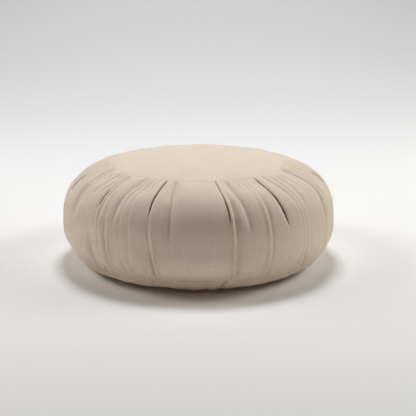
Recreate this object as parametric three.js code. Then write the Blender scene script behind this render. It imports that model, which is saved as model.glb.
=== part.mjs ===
// Zafu meditation cushion: a round, firmly filled seat in plain woven cloth.
// A gathered side band is sewn to a small round top panel and to a larger round base panel.
// Millimetres, +Z up. The origin is on the floor under the middle of the cushion, the front is -Y.
import * as THREE from "three";

// Driving dimensions
const WIDTH = 378; // across the widest part of the filled side, before its cloth puffs out
const HEIGHT = 145; // from the floor to the middle of the top panel
const WIDEST_HEIGHT = 56; // from the floor to the widest part
const TOP_SEAM_RADIUS = 121;
const BASE_SEAM_RADIUS = 175;
const CLOTH = 2; // thickness of a panel with its turned-in seam allowance
const SEWN_GAP = 0.3; // clearance between two pieces that are sewn together

// Powers of the two rounded curves that make the filled outline
const SHOULDER = { across: 3.83, up: 2.92 };
const UNDERSIDE = { across: 2.35, up: 2.07, depth: 82 }; // depth before the floor flattens it

// How the cloth lies at a tuck and at a seam
const LIP_WIDTH = 2.4; // steep side of a tuck, under the lip that folds over
const SOFT_WIDTH = 11; // sloping side of a tuck
const SOFT_SHARE = 0.34; // share of the cloth between two tucks at which its slope is caught
const LIP_RISE = 0.14; // share of a tuck's depth by which its lip stands proud
const TRAIL = 0.13; // share of a tuck's depth that carries on down the side as a soft fold
const PUFF = 0.05; // bulge of the cloth between two tucks, as a share of its width
const PUFF_SPAN = 24; // widest stretch of cloth that still bulges in proportion
const SEAM_DIP = 1; // depth to which a seam pulls the cloth down
const SEAM_ROLL = 6; // width over which the cloth rolls down to a seam

// Faceting
const BAND_ROWS = 15;
const LINE_POINTS = 24;
const WIDEST_STEP = 18; // longest stretch of cloth without a column
const PANEL_SIDES = 72;

// One row for each gather of the side band, from left to right across the front half.
// top, mid, base: its angle at the top seam, the widest part and the base seam, degrees from the front.
// tuck, run: depth of its tuck below the top seam, and how far down the side that tuck runs.
// nip, climb: depth of its tuck above the base seam, and how far up the side that one runs.
// lip: the side on which the cloth folds over the tuck, 1 for right and -1 for left.
const GATHER_COLUMNS = ["top", "mid", "base", "tuck", "run", "nip", "climb", "lip"];
const FRONT_GATHERS = [
  [-88.0, -87.0, -86.0, 3.0, 50, 2.0, 20, 1],
  [-83.0, -80.5, -78.5, 7.5, 72, 2.5, 24, 1],
  [-76.0, -74.0, -72.0, 2.0, 45, 2.0, 20, 1],
  [-71.0, -65.0, -63.0, 4.0, 85, 2.5, 24, 1],
  [-66.0, -61.5, -59.0, 3.5, 88, 2.0, 20, 1],
  [-60.0, -57.0, -55.0, 2.0, 40, 3.0, 26, 1],
  [-55.5, -53.5, -51.0, 2.5, 40, 3.0, 26, 1],
  [-52.5, -50.0, -47.3, 2.5, 40, 5.0, 30, 1],
  [-49.8, -46.6, -44.2, 7.5, 70, 3.5, 26, 1],
  [-46.3, -43.6, -41.5, 4.5, 78, 2.5, 24, 1],
  [-41.0, -39.6, -37.8, 2.0, 40, 5.0, 52, 1],
  [-33.8, -36.8, -34.2, 5.5, 84, 2.0, 20, 1],
  [-30.6, -32.8, -31.0, 3.5, 50, 3.0, 26, 1],
  [-27.5, -28.6, -26.2, 3.0, 45, 2.5, 22, 1],
  [-20.0, -20.4, -17.3, 12.0, 76, 5.0, 68, 1],
  [-13.8, -11.2, -11.0, 5.5, 88, 1.0, 16, 1],
  [9.9, 13.6, 14.5, 10.0, 84, 4.5, 74, -1],
  [16.0, 20.8, 20.8, 5.5, 82, 2.0, 20, -1],
  [24.0, 29.6, 27.0, 3.5, 116, 3.0, 44, -1],
  [30.0, 33.6, 31.6, 2.5, 35, 3.0, 22, -1],
  [36.2, 38.6, 36.4, 12.0, 94, 3.5, 22, -1],
  [42.4, 43.4, 42.2, 3.0, 58, 4.0, 46, -1],
  [46.2, 47.4, 47.4, 4.5, 112, 3.5, 26, -1],
  [51.4, 51.2, 52.0, 4.5, 112, 2.5, 22, -1],
  [55.6, 55.2, 55.8, 2.5, 64, 2.5, 22, -1],
  [60.6, 59.6, 59.6, 2.5, 54, 2.0, 20, -1],
  [66.8, 64.6, 63.0, 8.5, 98, 2.5, 24, -1],
  [70.6, 69.0, 67.4, 4.0, 92, 2.0, 20, -1],
  [75.6, 74.0, 72.6, 2.5, 50, 2.5, 24, -1],
  [81.6, 79.6, 78.4, 4.5, 74, 2.0, 20, -1],
  [87.4, 86.6, 85.4, 7.5, 74, 2.5, 24, -1],
].map((row) => Object.fromEntries(GATHER_COLUMNS.map((name, i) => [name, row[i]])));

const WIDEST_RADIUS = WIDTH / 2;
const clothColour = new THREE.Color(0.58, 0.49, 0.38);

// Height of the filled outline above and below its widest part, at a radius
function shoulderHeight(radius) {
  const inside = 1 - (radius / WIDEST_RADIUS) ** SHOULDER.across;
  return WIDEST_HEIGHT + (HEIGHT - WIDEST_HEIGHT) * Math.max(inside, 0) ** (1 / SHOULDER.up);
}

function undersideHeight(radius) {
  const inside = 1 - (radius / WIDEST_RADIUS) ** UNDERSIDE.across;
  return WIDEST_HEIGHT - UNDERSIDE.depth * Math.max(inside, 0) ** (1 / UNDERSIDE.up);
}

// Radius at which the underside meets the floor
const FOOT_RADIUS =
  WIDEST_RADIUS * (1 - (WIDEST_HEIGHT / UNDERSIDE.depth) ** UNDERSIDE.up) ** (1 / UNDERSIDE.across);

// Points from one radius to another, crowded towards the end that is named as steep
function outlinePoints(height, from, to, steepEnd) {
  return Array.from({ length: LINE_POINTS + 1 }, (_, i) => {
    const share = i / LINE_POINTS;
    const eased = steepEnd ? Math.sin((share * Math.PI) / 2) : 1 - Math.cos((share * Math.PI) / 2);
    const radius = from + (to - from) * eased;
    return new THREE.Vector2(radius, height(radius));
  });
}

// The three stretches of the outline, from the middle of the top to the edge of the foot
const crownLine = new THREE.SplineCurve(outlinePoints(shoulderHeight, 0, TOP_SEAM_RADIUS, true));
const bandLine = new THREE.SplineCurve([
  ...outlinePoints(shoulderHeight, TOP_SEAM_RADIUS, WIDEST_RADIUS, true),
  ...outlinePoints(undersideHeight, WIDEST_RADIUS, BASE_SEAM_RADIUS, false).slice(1),
]);
const baseLine = new THREE.SplineCurve(
  outlinePoints(undersideHeight, BASE_SEAM_RADIUS, FOOT_RADIUS, true),
);
const BAND_LENGTH = bandLine.getLength();
const WIDEST_RUN = BAND_LENGTH * widestShare();

// Share of the band's length at which it is widest
function widestShare() {
  const steps = 400;
  const radii = Array.from({ length: steps + 1 }, (_, i) => bandLine.getPointAt(i / steps).x);
  return radii.indexOf(Math.max(...radii)) / steps;
}

// A point of an outline, moved outwards from the filling by a distance
function raised(line, share, distance) {
  const point = line.getPointAt(share);
  const along = line.getTangentAt(share);
  return point.add(new THREE.Vector2(-along.y, along.x).multiplyScalar(distance));
}

const smooth = (low, high, value) => THREE.MathUtils.smoothstep(value, low, high);

// How far a seam pulls the cloth down at a distance from it
function seamRoll(distance) {
  return distance < SEAM_ROLL ? -SEAM_DIP * (1 - distance / SEAM_ROLL) ** 2 : 0;
}

// A gather's angle in degrees at a distance down the band
function gatherAngle(gather, run) {
  if (run < WIDEST_RUN) {
    return THREE.MathUtils.lerp(gather.top, gather.mid, run / WIDEST_RUN);
  }
  const below = (run - WIDEST_RUN) / (BAND_LENGTH - WIDEST_RUN);
  return THREE.MathUtils.lerp(gather.mid, gather.base, below);
}

// Depth of a gather's tuck at a distance down the band: sewn shut at the seam, deepest below it
function tuckDepth(gather, run) {
  const upper = run / gather.run;
  const lower = (BAND_LENGTH - run) / gather.climb;
  const closing = smooth(0, 0.3, upper) * smooth(0, 0.3, lower);
  const fading = THREE.MathUtils.lerp(1, TRAIL, smooth(0.55, 1, upper));
  const nip = gather.nip * smooth(0, 0.3, lower) * (1 - smooth(0.4, 1, lower));
  return gather.tuck * closing * fading + nip;
}

// Share of a tuck's depth at a distance from it: steep up to the lip, sloping on the other side
function creaseShare(distance, lip) {
  const towardsLip = distance * lip;
  if (towardsLip <= 0) return (1 - smooth(0, SOFT_WIDTH, -towardsLip)) ** 2;
  if (towardsLip < LIP_WIDTH) return 1 - (1 + LIP_RISE) * smooth(0, LIP_WIDTH, towardsLip);
  return -LIP_RISE * (1 - smooth(LIP_WIDTH, SOFT_WIDTH, towardsLip));
}

// Columns of cloth from one gather's tuck up to the next: the tuck, its two slopes and what lies between
function columnsBetween(left, right) {
  const widest = THREE.MathUtils.degToRad(right.mid - left.mid) * WIDEST_RADIUS;
  const extra = Math.max(0, Math.ceil(widest / WIDEST_STEP) - 1);
  const near = (gather, side, span) => (gather.lip === side ? LIP_WIDTH : SOFT_SHARE * span);
  const places = [() => 0, (span) => near(left, 1, span)];
  for (let i = 1; i <= extra; i++) {
    const share = i / (extra + 1);
    places.push((span) => near(left, 1, span) + share * (span - near(left, 1, span) - near(right, -1, span)));
  }
  places.push((span) => span - near(right, -1, span));
  return places.map((place) => ({ left, right, place }));
}

// The front gathers, and the same ones turned half round for the back
function turned(gather, degrees) {
  return { ...gather, top: gather.top + degrees, mid: gather.mid + degrees, base: gather.base + degrees };
}
const gathers = [...FRONT_GATHERS, ...FRONT_GATHERS.map((gather) => turned(gather, 180))];
const columns = gathers.flatMap((gather, i) =>
  columnsBetween(gather, i + 1 < gathers.length ? gathers[i + 1] : turned(gathers[0], 360)),
);

// Angle of a column, and how far its cloth stands off the smooth outline
function gatheredCloth(column, run) {
  const radius = bandLine.getPointAt(run / BAND_LENGTH).x;
  const leftAngle = THREE.MathUtils.degToRad(gatherAngle(column.left, run));
  const rightAngle = THREE.MathUtils.degToRad(gatherAngle(column.right, run));
  const span = (rightAngle - leftAngle) * radius;
  const distance = column.place(span);
  const fade = smooth(0, SEAM_ROLL * 2, Math.min(run, BAND_LENGTH - run));
  const bulge = PUFF * Math.min(span, PUFF_SPAN) * Math.sin((Math.PI * distance) / span) * fade;
  const tucks =
    tuckDepth(column.left, run) * creaseShare(distance, column.left.lip) +
    tuckDepth(column.right, run) * creaseShare(distance - span, column.right.lip);
  return {
    angle: leftAngle + distance / radius,
    stands: bulge - tucks + seamRoll(run) + seamRoll(BAND_LENGTH - run),
  };
}

// A lathe turns about Y, so this stands its axis up along +Z with the first column at the front
function stoodUp(geometry) {
  return geometry.rotateX(Math.PI / 2);
}

function clothMesh(name, geometry) {
  const material = new THREE.MeshStandardMaterial({ color: clothColour, roughness: 0.92, metalness: 0 });
  const mesh = new THREE.Mesh(geometry, material);
  mesh.name = name;
  return mesh;
}

// Evenly spaced shares of an outline
function shares(count) {
  return Array.from({ length: count + 1 }, (_, i) => i / count);
}

// The filled side: seats for the two panels, and between them the band in its gathers
function filledSide() {
  const seat = CLOTH + SEWN_GAP;
  const baseSeat = shares(3).reverse().map((share) => raised(baseLine, share, -seat));
  const topSeat = [1, 0.66, 0.33].map((share) => raised(crownLine, share, -seat));
  const bandRuns = shares(BAND_ROWS).map((share) => BAND_LENGTH * (0.5 + 0.5 * Math.cos(share * Math.PI)));
  const below = [new THREE.Vector2(0, seat), ...baseSeat];
  const above = [...topSeat, new THREE.Vector2(0, HEIGHT - seat)];
  const outline = [...below, ...bandRuns.map((run) => bandLine.getPointAt(run / BAND_LENGTH)), ...above];

  const geometry = new THREE.LatheGeometry(outline, columns.length);
  const points = geometry.getAttribute("position");
  for (let side = 0; side <= columns.length; side++) {
    const column = columns[side % columns.length];
    outline.forEach((point, level) => {
      const row = level - below.length;
      const run = THREE.MathUtils.clamp(bandRuns[row] ?? (row < 0 ? BAND_LENGTH : 0), 0, BAND_LENGTH);
      const cloth = gatheredCloth(column, run);
      const onBand = row >= 0 && row < bandRuns.length;
      const placed = onBand ? raised(bandLine, run / BAND_LENGTH, cloth.stands) : point;
      points.setXYZ(
        side * outline.length + level,
        placed.x * Math.sin(cloth.angle),
        placed.y,
        placed.x * Math.cos(cloth.angle),
      );
    });
  }
  return clothMesh("gathered_side", stoodUp(geometry));
}

// The top panel: a crowned disc of cloth in its seat, rolled down to the seam at its rim
function topPanel() {
  const length = crownLine.getLength();
  const rim = 1 - SEWN_GAP / length;
  const face = [0.25, 0.5, 0.75, 1 - SEAM_ROLL / length, 1 - SEAM_ROLL / 2 / length, rim];
  const under = face.map((share) => raised(crownLine, share, -CLOTH));
  const over = face.map((share) => raised(crownLine, share, seamRoll((1 - share) * length)));
  const outline = [
    new THREE.Vector2(0, HEIGHT - CLOTH),
    ...under,
    ...over.reverse(),
    new THREE.Vector2(0, HEIGHT),
  ];
  return clothMesh("top_panel", stoodUp(new THREE.LatheGeometry(outline, PANEL_SIDES)));
}

// The base panel: flat on the floor, then curving up to its seam
function basePanel() {
  const length = baseLine.getLength();
  const rim = SEWN_GAP / length;
  const face = [1, 0.8, 0.6, 0.4, SEAM_ROLL / length, rim];
  const over = face.map((share) => raised(baseLine, share, seamRoll(share * length)));
  const under = face.map((share) => raised(baseLine, share, -CLOTH));
  over[0].y = 0;
  const outline = [new THREE.Vector2(0, 0), ...over, ...under.reverse(), new THREE.Vector2(0, CLOTH)];
  return clothMesh("base_panel", stoodUp(new THREE.LatheGeometry(outline, PANEL_SIDES)));
}

const cushion = new THREE.Group();
cushion.name = "zafu_cushion";
cushion.add(filledSide(), topPanel(), basePanel());

export default cushion;
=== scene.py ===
import math

import bpy
import numpy as np
from mathutils import Euler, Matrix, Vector


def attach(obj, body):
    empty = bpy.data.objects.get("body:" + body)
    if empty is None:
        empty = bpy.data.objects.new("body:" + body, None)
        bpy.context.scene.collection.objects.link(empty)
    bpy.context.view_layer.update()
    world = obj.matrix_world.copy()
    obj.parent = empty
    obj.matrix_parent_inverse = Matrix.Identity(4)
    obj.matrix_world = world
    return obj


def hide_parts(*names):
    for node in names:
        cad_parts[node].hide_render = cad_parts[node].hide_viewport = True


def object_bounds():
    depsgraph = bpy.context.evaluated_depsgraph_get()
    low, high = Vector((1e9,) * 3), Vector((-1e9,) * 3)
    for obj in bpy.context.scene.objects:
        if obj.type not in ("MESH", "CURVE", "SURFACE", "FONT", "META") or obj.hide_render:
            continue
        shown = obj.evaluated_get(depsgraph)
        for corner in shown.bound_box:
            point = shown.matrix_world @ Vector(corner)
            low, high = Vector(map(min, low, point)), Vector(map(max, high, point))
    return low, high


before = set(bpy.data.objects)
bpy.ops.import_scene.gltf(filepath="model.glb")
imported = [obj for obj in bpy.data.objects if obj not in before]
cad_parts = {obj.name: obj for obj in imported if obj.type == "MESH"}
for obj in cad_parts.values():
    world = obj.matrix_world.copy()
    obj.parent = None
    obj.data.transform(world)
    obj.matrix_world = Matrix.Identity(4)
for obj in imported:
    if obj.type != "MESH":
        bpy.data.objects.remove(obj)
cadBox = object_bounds()
mm = 0.001
print("frame loaded, box", [round(v, 4) for v in cadBox[1] - cadBox[0]])

scene = bpy.context.scene
scene.view_settings.view_transform = "Standard"

# camera at the photo's angle, aimed at about the middle of the cushion
cameraSettings = {
    "distance": 1.520,  # from the middle of the foot
    "elevation": 17.54,  # degrees above the floor
    "tilt": 75.07,  # degrees up from looking straight down
    "turn": -0.52,
    "lens": 91.4,  # millimetres, as the sensor is
    "sensor": 36.0,
}


def makeCamera():
    s = cameraSettings
    data = bpy.data.cameras.new("camera")
    data.lens = s["lens"]
    data.sensor_width = s["sensor"]
    camera = bpy.data.objects.new("camera", data)
    scene.collection.objects.link(camera)
    rise = math.radians(s["elevation"])
    camera.location = (0, -s["distance"] * math.cos(rise), s["distance"] * math.sin(rise))
    camera.rotation_euler = Euler((math.radians(s["tilt"]), 0, math.radians(s["turn"])))
    scene.camera = camera


makeCamera()
print("camera placed")

# the filled outline, as in the solids down to the base seam; below it the panel settles on the floor
outlineSettings = {
    "puff": 1.0 * mm,  # how far the cloth stands off the outline at its widest
    "widest height": 56 * mm,
    "top seam radius": 121 * mm,
    "base seam radius": 175 * mm,
    "shoulder": (3.83, 2.92),  # powers across and up
    "underside": (2.35, 2.07),
    "underside depth": 82 * mm,  # before the floor flattens it
    "rest radius": 135 * mm,  # what lies flat on the floor
    "low wedge": 5.5 * mm,  # part of the base seam's height that falls evenly to the floor
    "base roll": 5.0,  # power of the roll that takes up the rest
    "seam drop": 17 * mm,  # how much further down the base seam lies at the sides than in front and behind
    "drops": (28, 62),  # degrees from the front over which it drops
    "drop reach": 70 * mm,  # length of band that stretches down with it
    "hollow fill": 0.8 * mm,  # what fills the outline's hollow where the band runs past it
    "hollow reach": 8 * mm,
    "cloth": 2 * mm,
    "sewn gap": 0.3 * mm,
    "top allowance": 2 * mm,  # what a panel's cut has beyond its seam
    "base allowance": 5 * mm,
    "crown points": 300,  # how finely each stretch is drawn
    "upper points": 600,
    "lower points": 400,
    "base points": 400,
}

cadSize = cadBox[1] - cadBox[0]
widestRadius = min(cadSize.x, cadSize.y) / 2 - outlineSettings["puff"]
fullHeight = cadBox[1].z


def smooth(low, high, value):
    t = np.clip((value - low) / (high - low), 0, 1)
    return t * t * (3 - 2 * t)


def shoulderHeight(radius):
    across, up = outlineSettings["shoulder"]
    low = outlineSettings["widest height"]
    inside = np.clip(1 - (radius / widestRadius) ** across, 0, None)
    return low + (fullHeight - low) * inside ** (1 / up)


def undersideHeight(radius):
    across, up = outlineSettings["underside"]
    inside = np.clip(1 - (radius / widestRadius) ** across, 0, None)
    return outlineSettings["widest height"] - outlineSettings["underside depth"] * inside ** (1 / up)


def settledHeight(radius):
    # the base panel, which its filling rolls out over the floor
    s = outlineSettings
    seamHeight = undersideHeight(s["base seam radius"])
    share = np.clip((radius - s["rest radius"]) / (s["base seam radius"] - s["rest radius"]), 0, 1)
    return s["low wedge"] * share + (seamHeight - s["low wedge"]) * share ** s["base roll"]


class Outline:
    # a stretch of the outline, read by the distance along it
    def __init__(self, radii, heights):
        self.radii = radii
        self.heights = heights
        steps = np.hypot(np.diff(radii), np.diff(heights))
        self.along = np.concatenate([[0], np.cumsum(steps)])
        self.length = self.along[-1]
        dr = np.gradient(radii, self.along)
        dz = np.gradient(heights, self.along)
        size = np.hypot(dr, dz)
        self.outR = -dz / size
        self.outZ = dr / size

    def at(self, distance):
        # radius, height and the two parts of the outward direction
        curves = (self.radii, self.heights, self.outR, self.outZ)
        return tuple(np.interp(distance, self.along, curve) for curve in curves)


def eased(start, end, count, steepEnd):
    # values from start to end, crowded where the outline is steep
    share = np.linspace(0, math.pi / 2, count)
    return start + (end - start) * (np.sin(share) if steepEnd else 1 - np.cos(share))


def makeOutlines():
    s = outlineSettings
    crownR = np.linspace(0, s["top seam radius"], s["crown points"])
    upperR = eased(s["top seam radius"], widestRadius, s["upper points"], True)
    lowerR = eased(widestRadius, s["base seam radius"], s["lower points"], False)[1:]
    baseR = np.linspace(s["base seam radius"], s["rest radius"], s["base points"])
    sideR = np.concatenate([upperR, lowerR])
    sideZ = np.concatenate([shoulderHeight(upperR), undersideHeight(lowerR)])
    baseZ = settledHeight(baseR)
    crown = Outline(crownR, shoulderHeight(crownR))
    band = Outline(sideR, sideZ)
    base = Outline(baseR, baseZ)
    # the band's stretch and on down the base panel's, for where the base seam drops
    joined = Outline(np.concatenate([sideR, baseR[1:]]), np.concatenate([sideZ, baseZ[1:]]))
    return crown, band, base, joined


crownLine, bandLine, baseLine, joinedLine = makeOutlines()
print("outline: band %.1f mm from seam to seam" % (bandLine.length / mm))


def seamDrop(theta):
    # how far past the band's outline the base seam lies at an angle
    fromFront = np.abs((np.degrees(theta) + 90) % 180 - 90)
    return outlineSettings["seam drop"] * smooth(*outlineSettings["drops"], fromFront)


def wrapped(angle):
    # the same angle between half a turn left and half a turn right
    return (angle + math.pi) % (2 * math.pi) - math.pi


def waves(theta, run, seed, kind):
    # a sum of seeded sine waves that closes on itself round the cushion
    # kind: how many waves, the fewest and most turns round the cushion, and how much they lean
    count, lowest, highest, drift = kind
    draw = np.random.default_rng(seed)
    total = np.zeros(np.broadcast(theta, run).shape)
    for _ in range(count):
        turns = draw.integers(lowest, highest + 1)
        lean = draw.uniform(-drift, drift)
        phase = draw.uniform(0, 2 * math.pi)
        total += np.sin(turns * theta + lean * run + phase)
    return total / math.sqrt(count)


# one row for each gather across the front half, left to right; the back has the same ones turned half round
# top, shoulder, waist, base: degrees from the front, from the top seam down to the base seam
# the rest in millimetres, with the depths deepened by the band's settings
# crease, run: depth below the top seam and how far down it runs; trail: soft fold that carries on below
# nip, climb: depth above the base seam and how far up it runs; wide: times the reach to both sides
gatherColumns = ("top", "shoulder", "waist", "base", "crease", "run", "trail", "nip", "climb", "wide")
frontGathers = [
    (-88.0, -87.0, -86.5, -86.0, 1.2, 60, 0.2, 1.2, 28, 1.0),
    (-84.0, -81.5, -79.5, -78.0, 2.6, 84, 0.3, 1.2, 26, 0.9),
    (-77.0, -75.0, -73.0, -71.5, 1.2, 60, 0.2, 1.2, 24, 0.8),
    (-71.5, -65.2, -63.0, -61.5, 2.8, 96, 0.4, 3.2, 24, 0.8),
    (-67.0, -62.0, -59.6, -58.2, 1.8, 80, 0.2, 3.6, 26, 0.8),
    (-61.0, -58.0, -56.4, -55.0, 0.8, 50, 0.2, 5.0, 28, 0.75),
    (-56.0, -54.2, -53.0, -51.8, 1.3, 64, 0.2, 5.5, 30, 0.7),
    (-52.6, -50.0, -48.8, -47.8, 1.8, 60, 0.2, 6.5, 50, 0.7),
    (-49.3, -46.9, -45.8, -44.9, 1.6, 80, 0.3, 3.6, 26, 0.7),
    (-47.0, -44.7, -43.6, -42.4, 2.0, 84, 0.3, 2.6, 22, 0.7),
    (-42.0, -41.2, -39.8, -37.6, 0.4, 110, 2.0, 4.6, 30, 0.9),
    (-33.6, -36.2, -35.6, -34.0, 1.4, 90, 0.2, 1.2, 22, 0.8),
    (-31.0, -33.4, -32.4, -31.0, 1.3, 66, 0.2, 3.4, 36, 0.7),
    (-27.8, -29.6, -28.4, -27.0, 1.1, 50, 0.2, 2.6, 34, 0.8),
    (-24.8, -25.8, -24.6, -23.4, 0.9, 40, 0.0, 1.4, 22, 0.8),
    (-19.8, -20.8, -19.6, -17.3, 0.4, 110, 2.0, 3.0, 56, 0.9),
    (-14.0, -11.9, -11.0, -10.8, 2.8, 100, 0.1, 0.5, 16, 0.75),
    (10.1, 12.2, 13.2, 13.4, 0.5, 84, 0.2, 0.4, 16, 0.9),
    (13.0, 14.5, 15.2, 15.2, 0.2, 52, 2.7, 1.4, 60, 1.05),
    (16.2, 19.7, 20.9, 20.9, 2.4, 90, 0.1, 0.8, 20, 0.65),
    (21.4, 23.0, 23.6, 23.2, 0.6, 34, 0.0, 0.8, 20, 0.9),
    (24.6, 26.0, 27.0, 26.2, 0.5, 34, 0.1, 2.4, 46, 0.9),
    (27.4, 29.5, 29.9, 29.3, 0.3, 56, 1.0, 1.6, 40, 0.9),
    (31.6, 33.4, 33.2, 31.6, 0.6, 40, 0.0, 2.4, 30, 0.9),
    (36.2, 36.7, 39.0, 37.0, 0.8, 104, 0.1, 4.0, 26, 0.9),
    (42.2, 45.4, 46.2, 43.6, 1.1, 66, 0.2, 5.0, 34, 0.7),
    (46.6, 47.6, 47.9, 48.4, 0.6, 76, 0.2, 4.6, 40, 0.8),
    (52.2, 50.7, 50.6, 51.4, 0.8, 80, 0.1, 4.2, 36, 0.8),
    (56.4, 55.6, 55.4, 55.6, 0.6, 60, 0.1, 3.0, 28, 0.9),
    (60.8, 59.8, 59.6, 59.2, 0.5, 50, 0.1, 2.4, 24, 1.0),
    (67.7, 66.8, 65.0, 63.4, 2.2, 108, 0.8, 2.2, 34, 0.7),
    (70.4, 70.2, 69.4, 67.6, 1.0, 92, 0.2, 1.4, 24, 0.7),
    (75.6, 74.4, 73.6, 72.4, 1.2, 62, 0.2, 1.2, 28, 0.8),
    (81.6, 80.2, 79.2, 78.2, 1.6, 80, 0.2, 1.0, 24, 0.8),
    (88.4, 88.2, 87.4, 86.2, 1.6, 80, 0.3, 1.2, 28, 0.9),
]

# the gathers that open into a dark slit: which one by its angle at the top seam, then its depth,
# where it opens and shuts below the seam, where along that it is widest and its half width there;
# sunk, fall: how far the cloth on the front side lies below the other side, and over what distance;
# lean: how far the slit runs in under that other side, as a share of its depth
slitColumns = ("top", "depth", "opens", "shuts", "widest", "half", "sunk", "fall", "lean")
frontSlits = [
    (-84.0, 12.0, 35, 70, 0.60, 1.10, 3.0, 9, 0.9),
    (-49.3, 8.0, 40, 66, 0.55, 0.52, 0.9, 3, 0.9),
    (-19.8, 20.0, -6, 70, 0.55, 0.90, 1.2, 3, 0.4),
    (10.1, 16.0, -4, 80, 0.80, 0.62, 0.7, 3, 0.2),
    (36.2, 20.0, -2, 90, 0.72, 1.05, 1.2, 3, 0.75),
    (67.7, 11.0, 1, 47, 0.50, 0.80, 1.6, 4, 0.9),
    (88.4, 12.0, 36, 66, 0.55, 1.10, 3.0, 9, 0.9),
]

bandSettings = {
    "rows": 88,
    "row crowding": 0.6,  # towards both seams
    "angles at": (0.0, 0.35, 0.67, 1.0),  # shares of the way down at which a gather's angles are given
    "bend": 14 * mm,  # over which a gather turns from one stretch to the next
    "crease columns": (0.8, 1.8, 3.2, 5.2),  # millimetres to each side of a gather
    "slit columns": (0.3, 0.6, 0.9, 1.2, 1.5, 1.9, 2.5, 3.4, 4.8, 6.6),
    "column step": 4.5 * mm,  # longest step between columns on a wide stretch
    "column room": 0.46,  # share of the cloth between two gathers that the columns beside one may take
    "steep": 1.9 * mm,  # reach of a crease on its outer side
    "soft": 2.5 * mm,  # reach of a crease on the side towards the front
    "dull widens": 0.4,  # how much further both reach where the crease is dull
    "trail reach": 2.7 * mm,  # of the soft folds further down
    "ridge": 0.6,  # raised cloth beside a soft fold, as a share of its depth
    "ridge at": 1.6,  # and its distance from the fold, as a share of the reach
    "sharp": 0.4 * mm,  # rounding of a crease at the seam
    "dull": 1.3 * mm,  # and on the filled part below
    "dulls": (45 * mm, 110 * mm),
    "sharpens": (8 * mm, 50 * mm),  # distances from the base seam
    "seam share": 0.3,  # share of a crease's depth that is left at the seam
    "crease start": 15 * mm,  # distance from the seam at which a crease is at its full depth
    "crease fades": (0.45, 1.05),  # shares of its run
    "nip start": 6 * mm,
    "nip fades": 0.2,  # share of its climb from which a nip fades
    "trail starts": (0.6, 1.1),  # shares of a crease's run
    "trail ends": 12 * mm,  # distance from the base seam over which a soft fold ends
    "slit opens": 0.14,  # shares of a slit's length
    "slit shuts": 0.84,
    "slit narrow": 0.55,  # a slit's width towards its ends, as a share of the widest
    "slit tip": 0.35,  # and at its very tips, as a share of that
    "slit walls": 3.0,  # power, higher for steeper walls
    "deepen": 1.4,  # on the depths of creases and soft folds in the table
    "nip deepen": 1.35,  # and on those of the nips
    "top dip": 0.2 * mm,  # where the seams draw the cloth in
    "base dip": 0.2 * mm,
    "seam roll": 4.0 * mm,
    "wide dip": 0.2,  # share of the top dip on stretches without fine gathering
    "fine span": 9 * mm,  # cloth is finely gathered where gathers lie this close
    "gather ripple": 0.30 * mm,  # fine gathering close to the seams
    "gather reach": 20 * mm,
    "gather start": 4 * mm,
    "gather waves": (10, 110, 240, 25),
    "held": 5 * mm,  # how close to a seam the stitches hold the cloth
    "held share": 0.3,  # share of its folds that is left there
    "slack": 0.30 * mm,  # slow unevenness of the filled side
    "slack start": 30 * mm,
    "slack waves": (8, 3, 14, 30),
    "fill": 1.3 * mm,  # how far the filling pushes out between the seams
    "fills": (18 * mm, 55 * mm),  # distances from a seam
    "low fill": 1.3 * mm,  # more of it just above the base seam
    "low fills": (0 * mm, 22 * mm, 26 * mm, 55 * mm),
    "back opens": 30,  # the slits behind start this far below the seam
    "back ease": 0.5,  # and the creases there are this share as deep
    "seed": 11,
}


def rowsOf(columns, table):
    return [dict(zip(columns, row)) for row in table]


def turnedBy(gather, degrees):
    return {**gather, **{key: gather[key] + degrees for key in gatherColumns[:4]}}


def allGathers():
    slits = {slit["top"]: slit for slit in rowsOf(slitColumns, frontSlits)}
    front = rowsOf(gatherColumns, frontGathers)
    for gather in front:
        gather["slit"] = slits.get(gather["top"])
        gather["outer"] = math.copysign(1, gather["top"])  # the side away from the front
    back = [turnedBy(gather, 180) for gather in front]
    for gather in back:
        gather["crease"] *= bandSettings["back ease"]
        if gather["slit"]:
            opens = max(gather["slit"]["opens"], bandSettings["back opens"])
            gather["slit"] = {**gather["slit"], "opens": opens}
    return front + back


def gatherAngle(gather, run):
    # straight stretches between the given angles, rounded where they meet
    s = bandSettings
    places = np.array(s["angles at"]) * bandLine.length
    angles = [gather[key] for key in gatherColumns[:4]]
    around = np.linspace(-s["bend"], s["bend"], 9)
    return np.radians(np.mean([np.interp(run + step, places, angles) for step in around], 0))


def creaseDepth(gather, run):
    # below the top seam
    s = bandSettings
    reach = gather["run"] * mm
    fades, ends = s["crease fades"]
    start = s["seam share"] + (1 - s["seam share"]) * smooth(0, s["crease start"], run)
    return gather["crease"] * start * (1 - smooth(fades * reach, ends * reach, run)) * s["deepen"] * mm


def nipDepth(gather, run):
    # above the base seam
    s = bandSettings
    fromBase = bandLine.length - run
    climb = gather["climb"] * mm
    start = s["seam share"] + (1 - s["seam share"]) * smooth(0, s["nip start"], fromBase)
    fade = 1 - smooth(s["nip fades"] * climb, climb, fromBase)
    return gather["nip"] * start * fade * s["nip deepen"] * mm


def trailDepth(gather, run):
    # of the soft fold that carries on where the crease fades
    s = bandSettings
    reach = gather["run"] * mm
    starts, full = s["trail starts"]
    fadeIn = smooth(starts * reach, full * reach, run)
    fadeOut = smooth(0, s["trail ends"], bandLine.length - run)
    return gather["trail"] * fadeIn * fadeOut * s["deepen"] * mm


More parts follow.
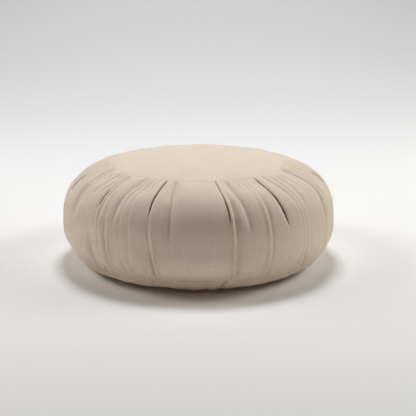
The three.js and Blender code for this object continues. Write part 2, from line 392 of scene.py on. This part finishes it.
def slitShape(slit, run):
    # how far open it is along its length, from 0 to 1, and its half width
    s = bandSettings
    share = np.clip((run / mm - slit["opens"]) / (slit["shuts"] - slit["opens"]), 0, 1)
    opening = smooth(0, s["slit opens"], share) * (1 - smooth(s["slit shuts"], 1, share))
    power = math.log(0.5) / math.log(slit["widest"])  # puts the middle of the swell at its widest place
    swell = s["slit narrow"] + (1 - s["slit narrow"]) * np.sin(math.pi * share**power)
    tips = s["slit tip"] + (1 - s["slit tip"]) * opening
    return opening, slit["half"] * mm * swell * tips


def gatherRelief(gather, distance, run):
    # how far the cloth lies below the outline at a distance from one gather, and how far it slides
    # sideways in under the lip of a slit
    s = bandSettings
    outside = distance * gather["outer"] > 0
    dull = smooth(*s["dulls"], run) * smooth(*s["sharpens"], bandLine.length - run)
    rounding = s["sharp"] + (s["dull"] - s["sharp"]) * dull
    away = np.sqrt(distance**2 + rounding**2) - rounding
    reach = np.where(outside, s["steep"], s["soft"]) * (1 + s["dull widens"] * dull) * gather["wide"]
    relief = creaseDepth(gather, run) * np.exp(-away / reach)
    width = s["trail reach"] * gather["wide"]
    ridge = distance + gather["outer"] * s["ridge at"] * width
    fold = np.exp(-((distance / width) ** 2)) - s["ridge"] * np.exp(-((ridge / width) ** 2))
    relief = relief + (trailDepth(gather, run) + nipDepth(gather, run)) * fold
    slide = np.zeros(distance.shape)
    if gather["slit"]:
        slit = gather["slit"]
        opening, half = slitShape(slit, run)
        groove = slit["depth"] * mm * np.exp(-((np.abs(distance) / half) ** s["slit walls"]))
        sunk = np.where(outside, 0, slit["sunk"] * mm) * np.exp(-np.abs(distance) / (slit["fall"] * mm))
        relief = relief + opening * np.maximum(groove, sunk)
        slide = gather["outer"] * slit["lean"] * opening * groove
    return relief, slide


def bandRuns():
    # distances of the rows from the top seam
    s = bandSettings
    share = np.linspace(0, 1, s["rows"])
    crowded = share - s["row crowding"] * np.sin(2 * math.pi * share) / (2 * math.pi)
    return bandLine.length * crowded


def ringPoints(theta, radius, height):
    return np.stack([radius * np.sin(theta), -radius * np.cos(theta), height + 0 * theta], -1)


def ringFaces(rowCount, columnCount):
    # point numbers by row and column, those of the next column, and the faces between the rows
    index = np.arange(rowCount * columnCount).reshape(rowCount, columnCount)
    after = np.roll(index, -1, 1)
    faces = np.stack([index[1:], after[1:], after[:-1], index[:-1]], -1).reshape(-1, 4)
    return index, after, faces


# the filling's push: a coarse copy of the band that Cloth blows out between its seams and creases
fillingSettings = {
    "columns": 360,
    "rows": 34,
    "pressure": 200,  # strong, because the band is held all round
    "frames": 20,
    "mass": 0.02,  # of a point, in kilograms
    "tension": 5,
    "bending": 0.1,
    "fullness": 0.02,  # how much more cloth there is than the outline needs
    "hold": 1.5 * mm,  # a crease this deep holds the cloth
    "hold reach": 3.5 * mm,
    "firm": 0.95,  # most that a crease holds, where 1 is a seam
    "cap": 2.0 * mm,  # furthest that a point may move from the outline
}


def heldShare(gathers, theta, run):
    # how firmly the seams and creases hold each point of the coarse band, from 0 to 1
    s = fillingSettings
    radius = bandLine.at(run)[0]
    held = np.zeros(theta.shape)
    for gather in gathers:
        away = wrapped(theta - gatherAngle(gather, run)) * radius
        near = np.exp(-((away / s["hold reach"]) ** 2))
        held = np.maximum(held, (creaseDepth(gather, run) + nipDepth(gather, run)) * near)
    held = np.clip(held / s["hold"], 0, 1) * s["firm"]
    held[[0, -1]] = 1
    return held


def setFilling(filling):
    s = fillingSettings
    filling.settings.mass = s["mass"]
    filling.settings.tension_stiffness = s["tension"]
    filling.settings.compression_stiffness = s["tension"]
    filling.settings.bending_stiffness = s["bending"]
    filling.settings.shrink_min = -s["fullness"]
    filling.settings.use_pressure = True
    filling.settings.uniform_pressure_force = s["pressure"]
    filling.settings.effector_weights.gravity = 0
    filling.settings.vertex_group_mass = "sewn"
    filling.collision_settings.use_collision = False
    filling.point_cache.frame_end = s["frames"]


def blownOut(points, held):
    # where Cloth leaves the coarse band's points; the band itself is removed again
    mesh = bpy.data.meshes.new("band_to_fill")
    mesh.from_pydata(points.reshape(-1, 3).tolist(), [], ringFaces(*held.shape)[2].tolist())
    band = bpy.data.objects.new("band_to_fill", mesh)
    scene.collection.objects.link(band)
    sewn = band.vertex_groups.new(name="sewn")
    for point, hold in enumerate(held.ravel().tolist()):
        sewn.add([point], hold, "REPLACE")
    setFilling(band.modifiers.new("filling", "CLOTH"))
    for step in range(1, fillingSettings["frames"] + 1):
        scene.frame_set(step)
    blown = band.evaluated_get(bpy.context.evaluated_depsgraph_get()).data
    moved = np.empty(points.size)
    blown.vertices.foreach_get("co", moved)
    scene.frame_set(1)
    bpy.data.objects.remove(band)
    bpy.data.meshes.remove(mesh)
    return moved.reshape(points.shape)


def fillingPush(gathers):
    # how far each point of the coarse band moves outwards, as an array of rows by columns;
    # each row's mean is taken off, so that the swollen band keeps the outline's size
    s = fillingSettings
    theta = np.arange(s["columns"]) * 2 * math.pi / s["columns"] + np.zeros((s["rows"], 1))
    run = np.linspace(0, bandLine.length, s["rows"])[:, None]
    radius, height, outR, outZ = bandLine.at(run)
    start = ringPoints(theta, radius, height)
    moved = blownOut(start, heldShare(gathers, theta, run))
    push = ((moved - start) * ringPoints(theta, outR, outZ)).sum(-1)
    push = push - push.mean(1, keepdims=True)
    print("filling pushes the band out by up to %.2f mm" % (push.max() / mm))
    return np.clip(push, -s["cap"], s["cap"])


def softWeights(share):
    # of four neighbours in a smooth curve past them
    return (
        (1 - share) ** 3 / 6,
        (3 * share**3 - 6 * share**2 + 4) / 6,
        (-3 * share**3 + 3 * share**2 + 3 * share + 1) / 6,
        share**3 / 6,
    )


def readSoftly(grid, theta, run):
    # the coarse band's values at the points of the fine one
    rowCount, columnCount = grid.shape
    row = run / bandLine.length * (rowCount - 1)
    column = theta / (2 * math.pi) * columnCount
    rowBefore = np.floor(row).astype(int)
    columnBefore = np.floor(column).astype(int)
    total = np.zeros(theta.shape)
    for i, down in enumerate(softWeights(row - rowBefore)):
        rows = np.clip(rowBefore + i - 1, 0, rowCount - 1)
        for j, across in enumerate(softWeights(column - columnBefore)):
            total += down * across * grid[rows, (columnBefore + j - 1) % columnCount]
    return total


def columnsBeside(gather):
    return np.array(bandSettings["slit columns" if gather["slit"] else "crease columns"]) * mm


def columnPlaces(left, right, span):
    # distances from the left gather of the columns up to the right one, crowded at both
    s = bandSettings
    fromLeft, fromRight = columnsBeside(left), columnsBeside(right)
    squeeze = np.minimum(1, s["column room"] * span / max(fromLeft[-1], fromRight[-1]))[:, None]
    starts = np.concatenate([[0], fromLeft])[None, :] * squeeze
    ends = span[:, None] - fromRight[::-1][None, :] * squeeze
    between = ends[:, :1] - starts[:, -1:]
    count = int(between.max() / s["column step"])
    share = np.arange(1, count + 1) / (count + 1)
    return np.concatenate([starts, starts[:, -1:] + between * share[None, :], ends], 1)


def gatheredGrid(gathers):
    # angle, distance from the top seam, lift and sideways slide of every point of the band,
    # and how finely its cloth is gathered
    runs = bandRuns()
    radius = bandLine.at(runs)[0]
    angles, lifts, slides, fines = [], [], [], []
    for i, left in enumerate(gathers):
        right = gathers[i + 1] if i + 1 < len(gathers) else turnedBy(gathers[0], 360)
        leftAngle = gatherAngle(left, runs)
        span = (gatherAngle(right, runs) - leftAngle) * radius
        distance = columnPlaces(left, right, span)
        runGrid = np.repeat(runs[:, None], distance.shape[1], 1)
        leftRelief, leftSlide = gatherRelief(left, distance, runGrid)
        rightRelief, rightSlide = gatherRelief(right, distance - span[:, None], runGrid)
        fine = np.clip(bandSettings["fine span"] / span, 0, 1)
        angles.append(leftAngle[:, None] + distance / radius[:, None])
        lifts.append(-leftRelief - rightRelief)
        slides.append((leftSlide + rightSlide) / radius[:, None])
        fines.append(np.repeat(fine[:, None], distance.shape[1], 1))
    theta, lift, slide, fine = (np.concatenate(parts, 1) for parts in (angles, lifts, slides, fines))
    return theta, np.repeat(runs[:, None], theta.shape[1], 1), lift, slide, fine


def filledLift(theta, run, lift, fine):
    # the gathers' lift with the seams' hold, the cloth's unevenness and the filling added
    s = bandSettings
    fromBase = bandLine.length - run
    fromSeam = np.minimum(run, fromBase)
    near = np.exp(-fromSeam / s["gather reach"]) * smooth(0, s["gather start"], fromSeam)
    lift = lift + s["gather ripple"] * fine * near * waves(theta, run, s["seed"], s["gather waves"])
    lift = lift * (s["held share"] + (1 - s["held share"]) * smooth(0, s["held"], fromSeam))
    slack = waves(theta, run, s["seed"] + 1, s["slack waves"]) * smooth(0, s["slack start"], fromSeam)
    lift = lift + s["slack"] * slack
    lift = lift + s["fill"] * smooth(*s["fills"], fromSeam)
    starts, full, eases, ends = s["low fills"]
    lift = lift + s["low fill"] * smooth(starts, full, fromBase) * (1 - smooth(eases, ends, fromBase))
    dip = np.clip(1 - fromSeam / s["seam roll"], 0, None) ** 2
    topDip = s["top dip"] * (s["wide dip"] + (1 - s["wide dip"]) * fine)
    return lift - dip * np.where(run < bandLine.length / 2, topDip, s["base dip"])


def bandGrid():
    gathers = allGathers()
    theta, run, lift, slide, fine = gatheredGrid(gathers)
    lift = lift + readSoftly(fillingPush(gathers), theta, run)
    return theta, run, filledLift(theta, run, lift, fine), slide


def addPiece(name, rings, uvs, topPole, basePole, around=0):
    # a closed mesh from rings of points, top first, with a pole at each end
    # around: how far the cloth's own map runs before it meets itself
    rowCount, columnCount = rings.shape[:2]
    points = np.concatenate([rings.reshape(-1, 3), [topPole], [basePole]])
    index, after, quads = ringFaces(rowCount, columnCount)
    top = rowCount * columnCount
    topFan = np.stack([index[0], after[0], np.full(columnCount, top)], -1)
    baseFan = np.stack([after[-1], index[-1], np.full(columnCount, top + 1)], -1)
    mesh = bpy.data.meshes.new(name)
    mesh.from_pydata(points.tolist(), [], quads.tolist() + topFan.tolist() + baseFan.tolist())
    wide = np.concatenate([uvs, uvs[:, :1] + np.array([around, 0])], 1)
    left, right = wide[:, :-1], wide[:, 1:]
    quadUv = np.stack([left[1:], right[1:], right[:-1], left[:-1]], 2)
    topUv = np.stack([left[0], right[0], (left[0] + right[0]) / 2], 1)
    baseUv = np.stack([right[-1], left[-1], (left[-1] + right[-1]) / 2], 1)
    layer = mesh.uv_layers.new(name="cloth")
    flat = np.concatenate([quadUv.reshape(-1, 2), topUv.reshape(-1, 2), baseUv.reshape(-1, 2)])
    layer.data.foreach_set("uv", flat.astype(np.float32).ravel())
    mesh.shade_smooth()
    mesh.update()
    piece = bpy.data.objects.new(name, mesh)
    scene.collection.objects.link(piece)
    return piece


def sideBand():
    s = outlineSettings
    theta, run, lift, slide = bandGrid()
    drop = seamDrop(theta)
    place = run + drop * smooth(bandLine.length - s["drop reach"], bandLine.length, run)
    hollow = np.exp(-(((place - bandLine.length) / s["hollow reach"]) ** 2))
    lift = lift + s["hollow fill"] * hollow * drop / s["seam drop"]
    radius, height, outR, outZ = joinedLine.at(place)
    rings = ringPoints(theta + slide, radius + outR * lift, height + outZ * lift)
    uvs = np.stack([theta * widestRadius, -place], -1)
    # hidden seats under the two panels close the piece
    seat = s["cloth"] + s["sewn gap"]
    topSeats, baseSeats = [], []
    for share in (0.5, 1.0):
        r, z, nr, nz = crownLine.at(crownLine.length * share)
        topSeats.append(ringPoints(theta[0], r - nr * seat, z - nz * seat))
    for share in (0.0, 0.5, 1.0):
        r, z, nr, nz = baseLine.at(baseLine.length * share + drop[-1] * (1 - share))
        baseSeats.append(ringPoints(theta[-1], r - nr * seat, np.maximum(z - nz * seat, seat)))
    rings = np.concatenate([np.array(topSeats), rings, np.array(baseSeats)])
    uvs = np.concatenate([np.repeat(uvs[:1], 2, 0), uvs, np.repeat(uvs[-1:], 3, 0)])
    around = 2 * math.pi * widestRadius
    return addPiece("gathered_side_cloth", rings, uvs, (0, 0, fullHeight - seat), (0, 0, seat), around)


topSettings = {
    "columns": 360,
    "rings": 34,
    "seam dip": 0.15 * mm,
    "seam roll": 5.0 * mm,
    "pull": 0.25 * mm,  # small puckers that the gathers pull into its rim
    "pull reach": 14 * mm,
    "pull waves": (10, 40, 90, 10),
    "slack": 0.35 * mm,
    "slack waves": (6, 1, 5, 40),
    "slack from rim": 60 * mm,
    "slack from middle": 40 * mm,
    "ring crowding": 1.6,  # towards the rim
    "inner ring": 0.03,  # share of the way from the middle to the rim
    "under rings": 5,
    "seed": 23,
}


def topPanel():
    s = topSettings
    thickness = outlineSettings["cloth"]
    rim = crownLine.length - outlineSettings["sewn gap"]
    theta = np.linspace(0, 2 * math.pi, s["columns"], endpoint=False)[None, :]
    share = 1 - (1 - np.linspace(s["inner ring"], 1, s["rings"])) ** s["ring crowding"]
    along = (share * rim)[:, None]
    fromSeam = crownLine.length - along
    r, z, nr, nz = crownLine.at(along)
    dip = s["seam dip"] * np.clip(1 - fromSeam / s["seam roll"], 0, None) ** 2
    pucker = np.exp(-fromSeam / s["pull reach"]) * waves(theta, along, s["seed"], s["pull waves"])
    slack = waves(theta, along, s["seed"] + 1, s["slack waves"])
    slack = slack * smooth(0, s["slack from rim"], fromSeam) * smooth(0, s["slack from middle"], along)
    lift = s["pull"] * pucker + s["slack"] * slack - dip
    over = ringPoints(theta + 0 * along, r + nr * lift, z + nz * lift)
    # the hidden under side
    underAlong = np.linspace(rim, s["inner ring"] * crownLine.length, s["under rings"])[:, None]
    r, z, nr, nz = crownLine.at(underAlong)
    under = ringPoints(theta + 0 * underAlong, r - nr * thickness, z - nz * thickness)
    rings = np.concatenate([over, under])
    uvs = rings[..., :2].copy()
    return addPiece("top_panel_cloth", rings, uvs, (0, 0, fullHeight), (0, 0, fullHeight - thickness))


baseSettings = {
    "columns": 1700,
    "rings": 30,
    "seam dip": 0.15 * mm,
    "seam roll": 4.0 * mm,
    "pull": 0.35 * mm,  # small puckers along the seam
    "pull reach": 12 * mm,
    "pull waves": (10, 30, 80, 10),
    "edge at": 24 * mm,  # distance from the seam of the rolled lower edge
    "edge reach": 9 * mm,
    "edge wave": 0.35 * mm,  # unevenness of that edge
    "edge waves": (9, 12, 44, 0),
    "flat from": 0.75,  # share of the way to the floor from which it flattens
    "inner rings": 8,
    "foot rings": 8,
    "foot inner": 20 * mm,  # radius of the innermost ring
    "seed": 31,
}

# puckers of the base panel: degrees from the front at the seam and at the rolled edge,
# then in millimetres the depth at the seam and at that edge, and the half width
puckerColumns = ("at", "edge at", "seam", "edge", "half")
basePuckers = [
    (-48.0, -47.0, 1.0, 0.2, 5.0),
    (-34.0, -33.0, 1.2, 0.4, 5.0),
    (-20.5, -19.0, 2.4, 0.8, 4.0),
    (-15.0, -15.0, 0.0, 2.8, 9.0),
    (3.2, 3.2, 0.0, 2.4, 2.5),
    (12.1, 9.8, 10.0, 9.0, 1.9),
    (17.0, 16.0, 1.6, 0.2, 4.0),
    (27.0, 26.0, 1.4, 0.4, 5.0),
    (36.0, 35.0, 1.8, 0.5, 5.0),
    (50.0, 49.0, 0.8, 0.2, 5.0),
]


def baseLift(theta, along, fromSeam):
    # how far the base panel's cloth stands off its outline
    s = baseSettings
    atSeam = np.exp(-((fromSeam / s["pull reach"]) ** 2))
    atEdge = np.exp(-(((along - s["edge at"]) / s["edge reach"]) ** 2))
    dip = np.clip(1 - fromSeam / s["seam roll"], 0, None) ** 2
    lift = s["pull"] * atSeam * waves(theta, along, s["seed"], s["pull waves"]) - s["seam dip"] * dip
    lift = lift + s["edge wave"] * atEdge * waves(theta, along, s["seed"] + 1, s["edge waves"])
    for pucker in rowsOf(puckerColumns, basePuckers):
        for turn in (0, 180):
            lean = (pucker["edge at"] - pucker["at"]) * along / s["edge at"]
            away = wrapped(theta - np.radians(pucker["at"] + lean + turn))
            near = np.exp(-np.abs(away) * outlineSettings["base seam radius"] / (pucker["half"] * mm))
            lift = lift - (pucker["seam"] * atSeam + pucker["edge"] * atEdge) * near * mm
    return lift * (1 - smooth(s["flat from"], 1, along / baseLine.length))


def basePanel():
    s = baseSettings
    thickness = outlineSettings["cloth"]
    theta = np.linspace(0, 2 * math.pi, s["columns"], endpoint=False)[None, :]

    def rings(fromSeam, depth):
        along = fromSeam + seamDrop(theta) * (1 - fromSeam / baseLine.length)
        r, z, nr, nz = baseLine.at(along)
        lift = baseLift(theta, along, fromSeam) - depth
        return ringPoints(theta + 0 * along, r + nr * lift, np.maximum(z + nz * lift, depth))

    gap = outlineSettings["sewn gap"]
    over = rings(np.linspace(gap, baseLine.length, s["rings"])[:, None], 0)
    inner = rings(np.linspace(gap, baseLine.length, s["inner rings"])[:, None], thickness)
    flatR = np.linspace(outlineSettings["rest radius"], s["foot inner"], s["foot rings"])[1:, None]
    foot = ringPoints(theta + 0 * flatR, flatR, 0 * flatR)
    points = np.concatenate([inner[::-1], over, foot])
    return addPiece("base_panel_cloth", points, points[..., :2].copy(), (0, 0, thickness), (0, 0, 0))


class Wire:
    # a shader socket that can be used in plain sums
    def __init__(self, tree, socket):
        self.tree = tree
        self.socket = socket

    def node(self, kind, settings=None, inputs=None, out=0):
        made = self.tree.nodes.new(kind)
        for key, value in (settings or {}).items():
            setattr(made, key, value)
        for key, value in (inputs or {}).items():
            if isinstance(value, Wire):
                self.tree.links.new(value.socket, made.inputs[key])
            else:
                made.inputs[key].default_value = value
        return Wire(self.tree, made.outputs[out])

    def sum(self, operation, *values):
        return self.node("ShaderNodeMath", {"operation": operation}, dict(enumerate(values)))

    def __add__(self, other):
        return self.sum("ADD", self, other)

    def __sub__(self, other):
        return self.sum("SUBTRACT", self, other)

    def __rsub__(self, other):
        return self.sum("SUBTRACT", other, self)

    def __mul__(self, other):
        return self.sum("MULTIPLY", self, other)

    def __truediv__(self, other):
        return self.sum("DIVIDE", self, other)

    __radd__ = __add__
    __rmul__ = __mul__


linenSettings = {
    "thread": 0.85 * mm,  # from one thread to the next
    "light": (0.955, 0.845, 0.708, 1),
    "dark": (0.715, 0.613, 0.492, 1),
    "roughness": 0.92,
    "specular": 0.15,
    "sheen": 0.12,
    "sheen roughness": 0.5,
    "bump": 0.35,
    "bump height": 0.25 * mm,
    "under": 0.4,  # height of a thread that passes under, where one that passes over has 1
    "wander": 0.7,  # how far the threads stray, in threads
    "wander scale": 0.11,  # the scales are per thread
    "slub scales": (0.9, 0.035),  # across and along a thread
    "blotch scale": 0.03,
    "fleck scale": 0.45,
    "tones": (0.5, 1.7, 0.3),  # of slubs, flecks and blotches
    "weave gap shade": (0.4, 0.75),  # painted shade of the weave: share of the tone that follows the threads' height, so gaps and threads that pass under come out darker, and the rest
    "heights": (0.7, 0.5),  # of threads and slubs in the bump
}


def linen():
    s = linenSettings
    material = bpy.data.materials.new("linen_cloth")
    material.use_nodes = True
    tree = material.node_tree
    shader = tree.nodes["Principled BSDF"]
    start = Wire(tree, None)
    uv = start.node("ShaderNodeUVMap", {"uv_map": "cloth"})
    u = start.node("ShaderNodeSeparateXYZ", None, {0: uv}, 0) / s["thread"]
    v = start.node("ShaderNodeSeparateXYZ", None, {0: uv}, 1) / s["thread"]

    def noise(x, y, detail=2.0):
        place = start.node("ShaderNodeCombineXYZ", None, {0: x, 1: y})
        return start.node("ShaderNodeTexNoise", None, {"Vector": place, "Scale": 1.0, "Detail": detail})

    # the numbers added to u keep the patterns apart
    across, lengthwise = s["slub scales"]
    wander = noise(u * s["wander scale"], v * s["wander scale"]) * s["wander"]
    warpSlub = noise(u * across, v * lengthwise)
    weftSlub = noise(u * lengthwise + 40.0, v * across)
    blotch = noise(u * s["blotch scale"] + 9.0, v * s["blotch scale"])
    fleck = noise(u * s["fleck scale"] + 3.0, v * s["fleck scale"], 3.0)
    warpLine = start.sum("SINE", (u + wander) * math.pi)
    weftLine = start.sum("SINE", (v + wander) * math.pi)
    over = warpLine * weftLine * 0.5 + 0.5
    under = s["under"]
    warp = start.sum("ABSOLUTE", warpLine) * (over * (1 - under) + under)
    weft = start.sum("ABSOLUTE", weftLine) * ((1 - over) * (1 - under) + under)
    thread = start.sum("MAXIMUM", warp, weft)
    slubTone, fleckTone, blotchTone = s["tones"]
    gapShadeShare, plainShare = s["weave gap shade"]
    tone = (warpSlub + weftSlub) * slubTone + fleck * fleckTone + blotch * blotchTone - 1.0
    # painted shade: the tone is lowered where the threads are low, darkening the weave's gaps and the
    # threads that pass under
    tone = start.node("ShaderNodeClamp", None, {0: tone * (thread * gapShadeShare + plainShare)})
    colour = start.node(
        "ShaderNodeMix",
        {"data_type": "RGBA"},
        {0: tone, 6: s["dark"], 7: s["light"]},
        2,
    )
    threadHeight, slubHeight = s["heights"]
    height = thread * threadHeight + (warpSlub + weftSlub) * slubHeight
    bump = start.node(
        "ShaderNodeBump",
        None,
        {"Strength": s["bump"], "Distance": s["bump height"], "Height": height},
    )
    tree.links.new(colour.socket, shader.inputs["Base Color"])
    tree.links.new(bump.socket, shader.inputs["Normal"])
    shader.inputs["Roughness"].default_value = s["roughness"]
    shader.inputs["Sheen Weight"].default_value = s["sheen"]
    shader.inputs["Sheen Roughness"].default_value = s["sheen roughness"]
    shader.inputs["Specular IOR Level"].default_value = s["specular"]
    return material


coverCloth = linen()
print("linen made")

side = sideBand()
print("gathered side: %d points" % len(side.data.vertices))
top = topPanel()
base = basePanel()
print("panels made")

for piece, node in ((side, "gathered_side"), (top, "top_panel"), (base, "base_panel")):
    piece.data.materials.append(coverCloth)
    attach(piece, "root")
    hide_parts(node)

baseAllowances = 2 * outlineSettings["base allowance"]
baseAcross = 2 * float(baseLine.at(outlineSettings["seam drop"])[0]) + baseAllowances
print("pieces ride on the frame")

studioSettings = {
    "floor": (0.97, 0.97, 0.97, 1),
    "floor roughness": 0.9,
    "floor specular": 0.1,
    "sweep start": 0.9,  # where the floor begins to curve up behind
    "sweep radius": 3.0,
    "sweep points": 24,
    "sweep top": 4.0,
    "half width": 8.0,
    "front": -8.0,
}

# softboxes: place, aim, width and depth, power in watts, colour and spread in degrees;
# the low one's narrow spread keeps it off the floor beside it
lightColumns = ("name", "at", "aim", "size", "power", "colour", "spread")
lights = [
    ("overhead", (0.0, 0.50, 1.78), (0, 0, 0.05), (0.5, 0.45), 16.7, (0.93, 0.96, 1.0), 180),
    ("left side", (-1.56, 0.42, 1.06), (0, 0, 0.05), (0.8, 0.5), 6.2, (1.0, 1.0, 0.97), 180),
    ("left high", (-1.34, 0.0, 1.39), (0, 0, 0.05), (0.8, 0.5), 6.0, (1.0, 0.91, 0.83), 180),
    ("right side", (1.56, 0.42, 1.06), (0, 0, 0.05), (0.8, 0.5), 9.5, (1.0, 0.99, 0.96), 180),
    ("right high", (1.34, 0.0, 1.39), (0, 0, 0.05), (0.8, 0.5), 4.6, (1.0, 0.90, 0.78), 180),
    ("front low", (0.0, -1.89, 0.14), (0, 0, 0.08), (1.2, 0.16), 0.10, (1.0, 0.74, 0.50), 24),
    ("backdrop", (0.0, 1.6, 1.8), (0, 3.2, 0.3), (3.0, 0.4), 14.0, (0.98, 0.99, 1.0), 180),
    ("far left floor", (-2.2, 0.0, 1.8), (-4.6, 0, 0), (0.4, 3.0), 12.0, (1.0, 1.0, 1.0), 180),
    ("far right floor", (2.2, 0.0, 1.8), (4.6, 0, 0), (0.4, 3.0), 12.0, (1.0, 1.0, 1.0), 180),
    ("far front floor", (0.0, -2.4, 1.8), (0, -4.8, 0), (3.0, 0.4), 12.0, (1.0, 1.0, 1.0), 180),
]


def studioFloor():
    # flat in front, then curving up behind the cushion
    s = studioSettings
    bend = np.radians(np.linspace(0, 90, s["sweep points"]))
    lineY = s["sweep start"] + s["sweep radius"] * np.sin(bend)
    lineZ = s["sweep radius"] * (1 - np.cos(bend))
    line = [(s["front"], 0.0), *zip(lineY.tolist(), lineZ.tolist()), (float(lineY[-1]), s["sweep top"])]
    points = [(x, y, z) for y, z in line for x in (-s["half width"], s["half width"])]
    faces = [(2 * i, 2 * i + 1, 2 * i + 3, 2 * i + 2) for i in range(len(line) - 1)]
    mesh = bpy.data.meshes.new("floor")
    mesh.from_pydata(points, [], faces)
    mesh.shade_smooth()
    floor = bpy.data.objects.new("floor", mesh)
    scene.collection.objects.link(floor)
    paper = bpy.data.materials.new("pale_floor")
    paper.use_nodes = True
    shader = paper.node_tree.nodes["Principled BSDF"]
    shader.inputs["Base Color"].default_value = s["floor"]
    shader.inputs["Roughness"].default_value = s["floor roughness"]
    shader.inputs["Specular IOR Level"].default_value = s["floor specular"]
    mesh.materials.append(paper)


def studioLights():
    world = bpy.data.worlds.new("studio")
    world.use_nodes = True
    world.node_tree.nodes["Background"].inputs["Strength"].default_value = 0  # the softboxes light it all
    scene.world = world
    for light in rowsOf(lightColumns, lights):
        data = bpy.data.lights.new(light["name"], "AREA")
        data.shape = "RECTANGLE"
        data.size, data.size_y = light["size"]
        data.energy = light["power"]
        data.color = light["colour"]
        data.spread = math.radians(light["spread"])
        lamp = bpy.data.objects.new(light["name"], data)
        lamp.location = light["at"]
        lamp.visible_camera = False
        toAim = Vector(light["aim"]) - Vector(light["at"])
        lamp.rotation_euler = toAim.to_track_quat("-Z", "Y").to_euler()
        scene.collection.objects.link(lamp)


studioFloor()
studioLights()
print("studio lit")
